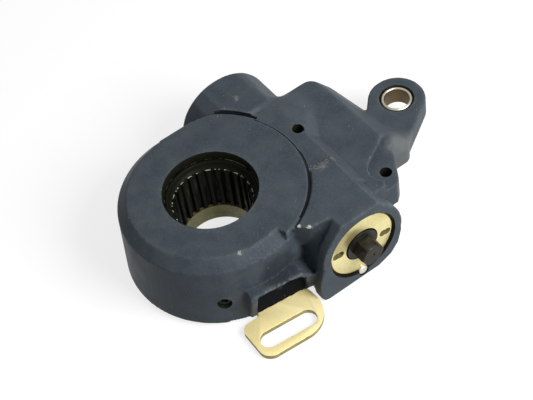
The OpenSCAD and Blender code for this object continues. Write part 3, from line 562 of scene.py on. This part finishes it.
# Hub seals: two moulded rubber rings, one in the hub's bore and one on the control disc's collar.
# They keep the grease in. The retainer's seal and the cover's gasket are of the same matt black rubber.
seal_rubber, tree, shader, where = finish_material("seal_rubber")
two_tone(tree, shader, noise(tree, where, 6.0, 5.0), "121213", "202022", (0.62, 0.8))
for node in ("upper_seal", "lower_seal", "retainer_seal", "cover_gasket"):
    dress(nodes[node], seal_rubber)

# Worm shaft: one turned bar with the worm, its journals and the adjusting hex that stands out of the tube.
# It is case hardened and blackened, with a centre hole in the end of the hex.
shaft = copy_node("worm_shaft", "worm_shaft_hex")
work = bmesh.new()
work.from_mesh(shaft.data)
bmesh.ops.dissolve_limit(work, angle_limit=radians(1), verts=work.verts, edges=work.edges)
sharp = [e for e in work.edges if e.calc_face_angle(0) > radians(25)
         and all(v.co.y < (MOUTH_Y + 2) * MM for v in e.verts)]
bmesh.ops.bevel(work, geom=sharp, offset=0.25 * MM, segments=2, affect="EDGES", material=1,
                clamp_overlap=True)
work.to_mesh(shaft.data)
work.free()
smooth_faces(shaft, 14)
black_oxide, tree, shader, where = finish_material("black_oxide")
two_tone(tree, shader, noise(tree, where, 2.5, 5.0), "14130e", "28261f", (0.32, 0.5))
shader.inputs["Metallic"].default_value = 0.4
shader.inputs["Specular IOR Level"].default_value = 0.25
lathe_bump(tree, shader, where, (WORM_X, 0, 0), (radians(90), 0, 0), 0.25, 0.3)
# Painted highlight: the bevelled corners of the hex take a lighter, more metallic oxide
oxide_edge_highlight, tree, shader, where = finish_material("oxide_edge_highlight")
shader.inputs["Metallic"].default_value = 0.7
film = noise(tree, where, 1.5, 3.0)
tree.links.new(mix(tree, film, tint("3a382f"), tint("7b776a")), shader.inputs["Base Color"])
shader.inputs["Roughness"].default_value = 0.4
dress(shaft, black_oxide, oxide_edge_highlight)
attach(shaft, "worm")
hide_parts("worm_shaft")

# Clutch: the ring on the worm shaft, the pinion beside it and the square-wire spring that grips both.
# The rack that turns the pinion is made alike: the pieces are ground steel and run in grease.
ground_steel, tree, shader, where = finish_material("ground_steel")
shader.inputs["Metallic"].default_value = 1.0
film = lathe_bump(tree, shader, where, (WORM_X, 0, 0), (radians(90), 0, 0), 0.2, 0.4)
two_tone(tree, shader, film, "8c8e90", "c2c4c6", (0.25, 0.4), (0.2, 0.8))
for node in ("clutch_ring", "clutch_pinion", "control_rack"):
    dress(nodes[node], ground_steel)


def shape_tree(name, sizes):
    """A geometry tree that takes seats and a finish, and named sizes in metres."""
    tree = bpy.data.node_groups.new(name, "GeometryNodeTree")
    tree.interface.new_socket("Seats", in_out="INPUT", socket_type="NodeSocketGeometry")
    tree.interface.new_socket("Finish", in_out="INPUT", socket_type="NodeSocketMaterial")
    for label in sizes:
        tree.interface.new_socket(label, in_out="INPUT", socket_type="NodeSocketFloat")
    tree.interface.new_socket("Pieces", in_out="OUTPUT", socket_type="NodeSocketGeometry")
    return tree, tree.nodes.new("NodeGroupInput").outputs, tree.nodes.new("NodeGroupOutput").inputs


def seat_shape(tree, at, to, shape, turn=(0, 0, 0)):
    """Ends a tree: sets the shape on every seat, turned, makes it real and gives it its finish."""
    seated = put(tree, "GeometryNodeInstanceOnPoints", {
        "Points": at["Seats"], "Instance": shape, "Rotation": turn})
    real = put(tree, "GeometryNodeRealizeInstances", {0: seated.outputs[0]})
    done = put(tree, "GeometryNodeSetMaterial", {"Geometry": real.outputs[0], "Material": at["Finish"]})
    tree.links.new(done.outputs[0], to["Pieces"])


def grow_piece(name, tree, seats, finish, sizes):
    """Runs a tree over the seats and keeps the result as a plain mesh."""
    mesh = bpy.data.meshes.new(name)
    mesh.from_pydata([tuple(s) for s in seats], [], [])
    piece = add_piece(name, mesh)
    growth = piece.modifiers.new(tree.name, "NODES")
    growth.node_group = tree
    values = dict(sizes, Finish=finish)
    for item in tree.interface.items_tree:
        if item.in_out == "INPUT" and item.name in values:
            growth[item.identifier] = values[item.name]
    return smooth_faces(bake_modifiers(piece), 35)


# Coil: a wire of any number of sides, wound about Z and set along the worm's axis
coil_tree, at, to = shape_tree("coil", ["Coil Radius", "Wire Wide", "Wire High", "Length", "Turns", "Sides"])
spiral = put(coil_tree, "GeometryNodeCurveSpiral", {
    "Resolution": 40, "Rotations": at["Turns"], "Start Radius": at["Coil Radius"],
    "End Radius": at["Coil Radius"], "Height": at["Length"]})
upright_wire = put(coil_tree, "GeometryNodeSetCurveNormal", {"Curve": spiral.outputs[0]}, mode="Z_UP")
around = put(coil_tree, "GeometryNodeCurvePrimitiveCircle", {"Resolution": at["Sides"], "Radius": 1.0})
half_side = put(coil_tree, "ShaderNodeCombineXYZ", {2: calc(coil_tree, "DIVIDE", pi, at["Sides"])})
level_sides = put(coil_tree, "GeometryNodeTransform", {
    "Geometry": around.outputs[0], "Rotation": half_side.outputs[0]})
wire_size = put(coil_tree, "ShaderNodeCombineXYZ", {0: at["Wire Wide"], 1: at["Wire High"], 2: 1.0})
wire = put(coil_tree, "GeometryNodeTransform", {
    "Geometry": level_sides.outputs[0], "Scale": wire_size.outputs[0]})
wound = put(coil_tree, "GeometryNodeCurveToMesh", {
    "Curve": upright_wire.outputs[0], "Profile Curve": wire.outputs[0], "Fill Caps": True})
seat_shape(coil_tree, at, to, wound.outputs[0], (radians(-90), 0, 0))


def wind_spring(node, name, finish, wide, high, turns, sides):
    """Winds a spring into the node's box: half the wire's width and height are in mm."""
    low, high_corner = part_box(node)
    seat = Vector(((low.x + high_corner.x) / 2, low.y + high * MM, (low.z + high_corner.z) / 2))
    corner = 1 / cos(pi / sides)
    return grow_piece(name, coil_tree, [seat], finish, {
        "Coil Radius": (high_corner.z - low.z) / 2 - wide * MM, "Wire Wide": wide * corner * MM,
        "Wire High": high * corner * MM, "Length": high_corner.y - low.y - 2 * high * MM,
        "Turns": float(turns), "Sides": float(sides)})


grip = wind_spring("clutch_spring", "clutch_spring_square", ground_steel, 0.8, 0.65, 5, 4)
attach(grip, "clutch")
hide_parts("clutch_spring")

# Load spring and rear bush: a stiff coil of dark spring wire behind the worm, on a sintered bronze bush.
# The spring holds the worm forward, and the bush carries the shaft's far end.
spring_wire, tree, shader, where = finish_material("spring_wire")
shader.inputs["Metallic"].default_value = 0.9
two_tone(tree, shader, noise(tree, where, 3.0, 4.0), "3d4043", "5e6266", (0.3, 0.5))
load_coil = wind_spring("load_spring", "load_spring_round", spring_wire, 1.6, 1.6, 6, 16)
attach(load_coil, "body")
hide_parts("load_spring")
bronze, tree, shader, where = finish_material("sintered_bronze")
shader.inputs["Metallic"].default_value = 1.0
two_tone(tree, shader, noise(tree, where, 0.5, 2.0), "7d6232", "b8924f", (0.4, 0.6))
dress(nodes["rear_bush"], bronze)

# Thrust bearing: two hardened washers with a ring of twelve balls between them, behind the retainer.
# The washers are ground flat, and the balls run in the grease between them.
WASHER_IN = 9.6
WIDEST_BALL = 5.0


def solid_boxes(node):
    """The lowest and highest corner of each separate solid in a node, in the order of its points."""
    work = node_shape(node)
    waiting = set(work.verts)
    found = []
    for start in work.verts:
        if start not in waiting:
            continue
        waiting.remove(start)
        front = [start]
        places = []
        while front:
            vert = front.pop()
            places.append(vert.co.copy())
            near = {e.other_vert(vert) for e in vert.link_edges} & waiting
            waiting -= near
            front.extend(near)
        low = Vector([min(p[i] for p in places) for i in range(3)])
        high = Vector([max(p[i] for p in places) for i in range(3)])
        found.append((low, high))
    work.free()
    return found


bearing_boxes = solid_boxes("thrust_bearing")
balls = [(low, high) for low, high in bearing_boxes if high.x - low.x < WIDEST_BALL * MM]
washers = [(low, high) for low, high in bearing_boxes if high.x - low.x > WIDEST_BALL * MM]
ball_tree, at, to = shape_tree("bearing_ball", ["Ball Radius"])
ball = put(ball_tree, "GeometryNodeMeshUVSphere", {"Segments": 24, "Rings": 12, "Radius": at["Ball Radius"]})
seat_shape(ball_tree, at, to, ball.outputs[0])
ball_seats = [(low + high) / 2 for low, high in balls]
ball_ring = grow_piece("thrust_bearing_balls", ball_tree, ball_seats, ground_steel, {
    "Ball Radius": (balls[0][1] - balls[0][0]).y / 2})
rings = []
for number, (low, high) in enumerate(washers):
    out, thick = (high.x - low.x) / 2 / MM, (high.y - low.y) / MM
    outline = [(0.2, WASHER_IN), (0, WASHER_IN + 0.2), (0, out - 0.3), (0.3, out), (thick - 0.3, out),
               (thick, out - 0.3), (thick, WASHER_IN + 0.2), (thick - 0.2, WASHER_IN)]
    name = f"thrust_washer_{number}"
    mesh = turn_mesh(name, outline, (WORM_X, low.y / MM, 0), (0, 1, 0), 96, ring=True)
    rings.append(smooth_faces(dress(add_piece(name, mesh), ground_steel)))
for piece in [ball_ring] + rings:
    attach(piece, "body")
    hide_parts("thrust_bearing")

# Bearing retainer: a screwed steel ring that closes the tube's mouth, with two pairs of spanner holes.
# It is turned, then plated with yellow zinc.
retainer = copy_node("bearing_retainer", "bearing_retainer_ring")


def bevel_corners(piece, width, segments=2):
    """Breaks a copied node's sharp corners, as tumbling or a file would, by a width in mm."""
    work = bmesh.new()
    work.from_mesh(piece.data)
    bmesh.ops.dissolve_limit(work, angle_limit=radians(1), verts=work.verts, edges=work.edges)
    sharp = [e for e in work.edges if e.calc_face_angle(0) > radians(30)]
    bmesh.ops.bevel(work, geom=sharp, offset=width * MM, segments=segments, affect="EDGES", material=0,
                    clamp_overlap=True, profile=0.5)
    work.to_mesh(piece.data)
    work.free()
    return smooth_faces(piece, 25)


bevel_corners(retainer, 0.3)

# Zinc cloud: the uneven yellow of chromate on zinc, with faint olive and pink drifts
zinc_cloud, at, to = effect(
    "zinc_cloud", [("Vector", "Vector", None), ("Pale", "Color", tint("f0de96")),
                   ("Deep", "Color", tint("cdb86a"))],
    [("Colour", "Color"), ("Film", "Float")])
drift = noise(zinc_cloud, at["Vector"], 14.0, 3.0)
fleck = noise(zinc_cloud, at["Vector"], 1.6, 3.0)
film = calc(zinc_cloud, "MULTIPLY_ADD", fleck, 0.35, calc(zinc_cloud, "MULTIPLY", drift, 0.65))
yellow = mix(zinc_cloud, span(zinc_cloud, film, 0.35, 0.65), at["Pale"], at["Deep"])
zinc_cloud.links.new(yellow, to["Colour"])
zinc_cloud.links.new(film, to["Film"])


def zinc_finish(name, pale, deep, gloss, metal=0.8):
    """Yellow zinc plate: a material with its tree, shader and coordinates, from its two yellows."""
    material, tree, shader, where = finish_material(name)
    shader.inputs["Metallic"].default_value = metal
    sockets = {"Vector": where, "Pale": tint(pale), "Deep": tint(deep)}
    cloud = put(tree, "ShaderNodeGroup", sockets, node_tree=zinc_cloud)
    tree.links.new(cloud.outputs["Colour"], shader.inputs["Base Color"])
    dull = span(tree, cloud.outputs["Film"], 0.35, 0.65, gloss, gloss + 0.12)
    tree.links.new(dull, shader.inputs["Roughness"])
    return material, tree, shader, where


OLIVE_SHADE = "7d7344"
HOLES_IN, HOLES_OUT = 10.6, 18.2
retainer_zinc, tree, shader, where = zinc_finish("retainer_zinc", "e6dba4", "cdc183", 0.32, 0.7)
lathe_bump(tree, shader, where, (WORM_X, 0, 0), (radians(90), 0, 0), 0.4, 0.25)
shader.inputs["Anisotropic"].default_value = 0.6
sweep = put(tree, "ShaderNodeTangent", direction_type="RADIAL", axis="Y")
tree.links.new(sweep.outputs[0], shader.inputs["Tangent"])
ring_low, ring_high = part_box("bearing_retainer")
# Painted reflection: the ring's upper left, beside the hex, is darkened towards olive
hex_reflection = spot_mask(tree, where, (WORM_X - 10, ring_low.y / MM, 9), 10, 0.15)
plate = shader.inputs["Base Color"].links[0].from_socket
plate = mix(tree, calc(tree, "MULTIPLY", hex_reflection, 0.55), plate, tint(OLIVE_SHADE))
tree.links.new(plate, shader.inputs["Base Color"])
# Painted shade: the spanner holes are lined with a dark olive
hole_shade, tree, shader, where = finish_material("hole_shade")
two_tone(tree, shader, noise(tree, where, 1.5, 4.0), "443f20", OLIVE_SHADE, (0.4, 0.7))
dress(retainer, retainer_zinc, hole_shade)
ring_axis = Vector((WORM_X * MM, 0, 0))
for face in retainer.data.polygons:
    from_axis = (face.center - ring_axis) * Vector((1, 0, 1))
    in_ring = HOLES_IN * MM < from_axis.length < HOLES_OUT * MM
    if in_ring and ring_low.y + 0.35 * MM < face.center.y < ring_high.y - 1 * MM:
        face.material_index = 1
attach(retainer, "body")
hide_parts("bearing_retainer")

# Lock pin: a soft bright pin driven in beside the retainer, half in the ring and half in the tube.
# Its end is domed by the hammer.
PIN_R = (pin_high.x - pin_low.x) / 2 / MM
PIN_LONG = (pin_high.y - pin_low.y) / MM
pin_outline = [(0, 0), (0.05, PIN_R * 0.45), (0.25, PIN_R * 0.8), (0.6, PIN_R * 0.97), (0.9, PIN_R),
               (PIN_LONG, PIN_R), (PIN_LONG, 0)]
pin_mesh = turn_mesh("lock_pin_driven", pin_outline, (PIN_X, pin_low.y / MM, PIN_Z), (0, 1, 0), 48)
pin = smooth_faces(add_piece("lock_pin_driven", pin_mesh), 40)
pin_bright, tree, shader, where = finish_material("pin_bright")
shader.inputs["Metallic"].default_value = 0.9
dents = noise(tree, where, 1.2, 3.0)
two_tone(tree, shader, dents, "b5b3a8", "e6e4da", (0.3, 0.5))
add_bump(tree, shader, dents, 0.4, 0.1)
dress(pin, pin_bright)
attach(pin, "body")
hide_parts("lock_pin")

# Control disc: a flanged steel collar under the worm wheel that carries the control arm.
# It is plated like the arm, and grease has turned its bore olive.
disc = bevel_corners(copy_node("control_disc", "control_disc_collar"), 0.3)
disc_zinc, tree, shader, where = zinc_finish("disc_zinc", "878456", "66643b", 0.42, 0.4)
lathe_bump(tree, shader, where, (0, 0, 0), (0, 0, 0), 0.4, 0.3)
dress(disc, disc_zinc)
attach(disc, "control")
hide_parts("control_disc")

# Control arm: a stamped steel plate with a slotted foot that is tied to the axle.
# It is blanked, its corners tumbled, and plated with yellow zinc.
arm = bevel_corners(copy_node("control_arm", "control_arm_plate"), 0.35, 3)
arm_zinc, tree, shader, where = zinc_finish("arm_zinc", "fbedb4", "f3e09a", 0.42, 0.2)
add_bump(tree, shader, noise(tree, where, 0.9, 3.0), 0.15, 0.06)
# Painted shade: the plate's upright sides take a darker olive yellow than its faces, and a duller finish
blanked_side_shade = zinc_finish("blanked_side_shade", "a99f66", "8a804c", 0.5, 0.3)[0]
dress(arm, arm_zinc, blanked_side_shade)
for face in arm.data.polygons:
    if abs(face.normal.z) < 0.6:
        face.material_index = 1
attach(arm, "control")
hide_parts("control_arm")

# Control rivets: six round-headed rivets that clamp the arm's plate to the disc.
# Their heads are set from below.
RIVET_HEAD, RIVET_SHANK = 0.62, 2.0


def shift(tree, shape, lift, scale=None):
    """Moves a shape along Z by a linked height, and stretches it along Z where a scale is given."""
    sockets = {"Geometry": shape, "Translation": put(tree, "ShaderNodeCombineXYZ", {2: lift}).outputs[0]}
    if scale is not None:
        sockets["Scale"] = put(tree, "ShaderNodeCombineXYZ", {0: 1.0, 1: 1.0, 2: scale}).outputs[0]
    return put(tree, "GeometryNodeTransform", sockets).outputs[0]


def seat_headed(tree, at, to, head):
    """Ends a rivet's or a screw's tree: stands a shank on the head and sets both on every seat."""
    rod = put(tree, "GeometryNodeMeshCylinder", {
        "Vertices": 32, "Radius": at["Shank Radius"], "Depth": at["Shank Length"]})
    half = calc(tree, "MULTIPLY", at["Shank Length"], 0.5)
    shank = shift(tree, rod.outputs[0], calc(tree, "ADD", half, at["Head Height"]))
    joined = put(tree, "GeometryNodeJoinGeometry")
    for part in (shank, head):
        tree.links.new(part, joined.inputs[0])
    seat_shape(tree, at, to, joined.outputs[0])


def foot_seats(boxes):
    """The middle of each solid's lower end."""
    return [Vector(((low.x + high.x) / 2, (low.y + high.y) / 2, low.z)) for low, high in boxes]


rivet_tree, at, to = shape_tree("set_rivet", ["Head Radius", "Head Height", "Shank Radius", "Shank Length"])
ball = put(rivet_tree, "GeometryNodeMeshUVSphere", {"Segments": 32, "Rings": 16, "Radius": at["Head Radius"]})
squat = calc(rivet_tree, "DIVIDE", at["Head Height"], at["Head Radius"])
head = shift(rivet_tree, ball.outputs[0], at["Head Height"], squat)
seat_headed(rivet_tree, at, to, head)
rivet_boxes = solid_boxes("control_rivets")
low, high = rivet_boxes[0]
rivet_zinc = zinc_finish("rivet_zinc", "e6d8a0", "bfae72", 0.36)[0]
rivets = grow_piece("control_rivets_set", rivet_tree, foot_seats(rivet_boxes), rivet_zinc, {
    "Head Radius": (high.x - low.x) / 2, "Head Height": RIVET_HEAD * MM, "Shank Radius": RIVET_SHANK * MM,
    "Shank Length": high.z - low.z - RIVET_HEAD * MM})
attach(rivets, "control")
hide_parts("control_rivets")

# Control cover: a stamped plate under the hub that holds the control unit in, over a thin gasket.
# It is plated with yellow zinc, and seen from the side its edge is a gold line below the hub.
cover = bevel_corners(copy_node("control_cover", "control_cover_plate"), 0.2)
cover_zinc = zinc_finish("cover_zinc", "d9cb90", "b3a468", 0.36)[0]
dress(cover, cover_zinc)
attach(cover, "body")
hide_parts("control_cover")

# Cover screws: six low-headed socket screws through the cover into the hub's skirt.
# The heads are turned with a chamfer and broached with a hex.
SCREW_HEAD, SCREW_CHAMFER, SCREW_SHANK = 0.9, 0.5, 2.2
SOCKET_R, SOCKET_DEEP = 1.7, 0.7
screw_tree, at, to = shape_tree("low_screw", [
    "Head Radius", "Rim Radius", "Head Height", "Socket Radius", "Socket Depth", "Shank Radius",
    "Shank Length"])
cone = put(screw_tree, "GeometryNodeMeshCone", {
    "Vertices": 48, "Radius Bottom": at["Rim Radius"], "Radius Top": at["Head Radius"],
    "Depth": at["Head Height"]})
broach = put(screw_tree, "GeometryNodeMeshCylinder", {
    "Vertices": 6, "Radius": at["Socket Radius"],
    "Depth": calc(screw_tree, "MULTIPLY", at["Socket Depth"], 2.0)})
head = put(screw_tree, "GeometryNodeMeshBoolean", {"Mesh 1": cone.outputs[0], "Mesh 2": broach.outputs[0]},
           operation="DIFFERENCE", solver="EXACT")
seat_headed(screw_tree, at, to, head.outputs[0])
screw_boxes = solid_boxes("cover_screws")
low, high = screw_boxes[0]
screws = grow_piece("cover_screws_low", screw_tree, foot_seats(screw_boxes), rivet_zinc, {
    "Head Radius": (high.x - low.x) / 2, "Rim Radius": (high.x - low.x) / 2 - SCREW_CHAMFER * MM,
    "Head Height": SCREW_HEAD * MM, "Socket Radius": SOCKET_R * MM, "Socket Depth": SOCKET_DEEP * MM,
    "Shank Radius": SCREW_SHANK * MM, "Shank Length": high.z - low.z - SCREW_HEAD * MM})
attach(screws, "body")
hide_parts("cover_screws")

# Grease plug: a short blackened plug with a hex socket, screwed below the surface of the hub's wall.
# The lubricator's thread behind it is hidden.
plug = bevel_corners(copy_node("grease_plug", "grease_plug_socket"), 0.2, 1)
dress(plug, black_oxide, oxide_edge_highlight)
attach(plug, "body")
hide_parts("grease_plug")

# Stage: a plain white floor under the piece, soft lamps and an open white surround.
# The floor is white to the eye and still takes the shadow.
WHITE = (1, 1, 1, 1)
FLOOR_REACH = 30.0
FLOOR_GREY = (0.3, 0.3, 0.3, 1)
FLOOR_GLOW = 0.76
SURROUND = 0.27


def seen_rays(tree):
    """The mask of the rays that are seen: straight, in a gloss or through glass."""
    ray = tree.nodes.new("ShaderNodeLightPath").outputs
    bent = calc(tree, "MAXIMUM", ray["Is Glossy Ray"], ray["Is Transmission Ray"])
    return calc(tree, "MAXIMUM", ray["Is Camera Ray"], bent)


floor_mesh = bpy.data.meshes.new("floor")
floor_z = cad_low.z - 0.1 * MM
floor_corners = [(x * FLOOR_REACH, y * FLOOR_REACH, floor_z) for x, y in ((-1, -1), (1, -1), (1, 1), (-1, 1))]
floor_mesh.from_pydata(floor_corners, [], [(0, 1, 2, 3)])
floor = add_piece("floor", floor_mesh)
floor_white = bpy.data.materials.new("floor_white")
floor_white.use_nodes = True
tree = floor_white.node_tree
tree.nodes.clear()
paper = put(tree, "ShaderNodeBsdfDiffuse", {"Color": FLOOR_GREY})
glow = put(tree, "ShaderNodeEmission", {
    "Color": WHITE, "Strength": calc(tree, "MULTIPLY", seen_rays(tree), FLOOR_GLOW)})
both = put(tree, "ShaderNodeAddShader", {0: paper.outputs[0], 1: glow.outputs[0]})
put(tree, "ShaderNodeOutputMaterial", {"Surface": both.outputs[0]})
dress(floor, floor_white)
floor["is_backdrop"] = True

world = bpy.data.worlds.new("white_surround")
scene.world = world
world.use_nodes = True
tree = world.node_tree
backdrop = tree.nodes["Background"].inputs
tree.links.new(span(tree, seen_rays(tree), 0.0, 1.0, SURROUND, 1.0), backdrop["Strength"])
backdrop["Color"].default_value = WHITE


def soft_lamp(name, place, aim, size, power):
    """A square soft lamp, in metres and watts, that looks at a point."""
    light = bpy.data.lights.new(name, "AREA")
    light.size = size
    light.energy = power
    lamp = bpy.data.objects.new(name, light)
    lamp.location = place
    lamp.rotation_euler = (Vector(aim) - Vector(place)).to_track_quat("-Z", "Y").to_euler()
    scene.collection.objects.link(lamp)


soft_lamp("key_lamp", (0.24, -0.54, 0.5), (0.02, -0.02, 0), 0.4, 7.2)
soft_lamp("side_lamp", (0.95, 0.15, 0.3), (0.04, 0, 0), 0.4, 1.5)
scene.view_settings.view_transform = "Standard"

# Camera: it stands to the left of the arm and looks down on the hub, as the photograph does.
# The lens is long, and the frame is 533 by 400.
FRAME_WIDE = 533
FOCAL_PIXELS = 1510.46
SENSOR_WIDE = 36
CAMERA_AT = Vector((-206.9, -441.3, 610.5)) * MM
AZIMUTH, ELEVATION, ROLL = -0.49387, 0.89164, -0.17713
ahead = Vector((-sin(AZIMUTH) * cos(ELEVATION), cos(AZIMUTH) * cos(ELEVATION), -sin(ELEVATION)))
level = Vector((cos(AZIMUTH), sin(AZIMUTH), 0))
upright = level.cross(ahead)
right = level * cos(ROLL) + upright * sin(ROLL)
up = upright * cos(ROLL) - level * sin(ROLL)
camera = bpy.data.objects.new("camera", bpy.data.cameras.new("camera"))
scene.collection.objects.link(camera)
camera.data.sensor_width = SENSOR_WIDE
camera.data.lens = FOCAL_PIXELS * SENSOR_WIDE / FRAME_WIDE
camera.matrix_world = Matrix.Translation(CAMERA_AT) @ Matrix((right, up, -ahead)).transposed().to_4x4()
scene.camera = camera

low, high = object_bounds()
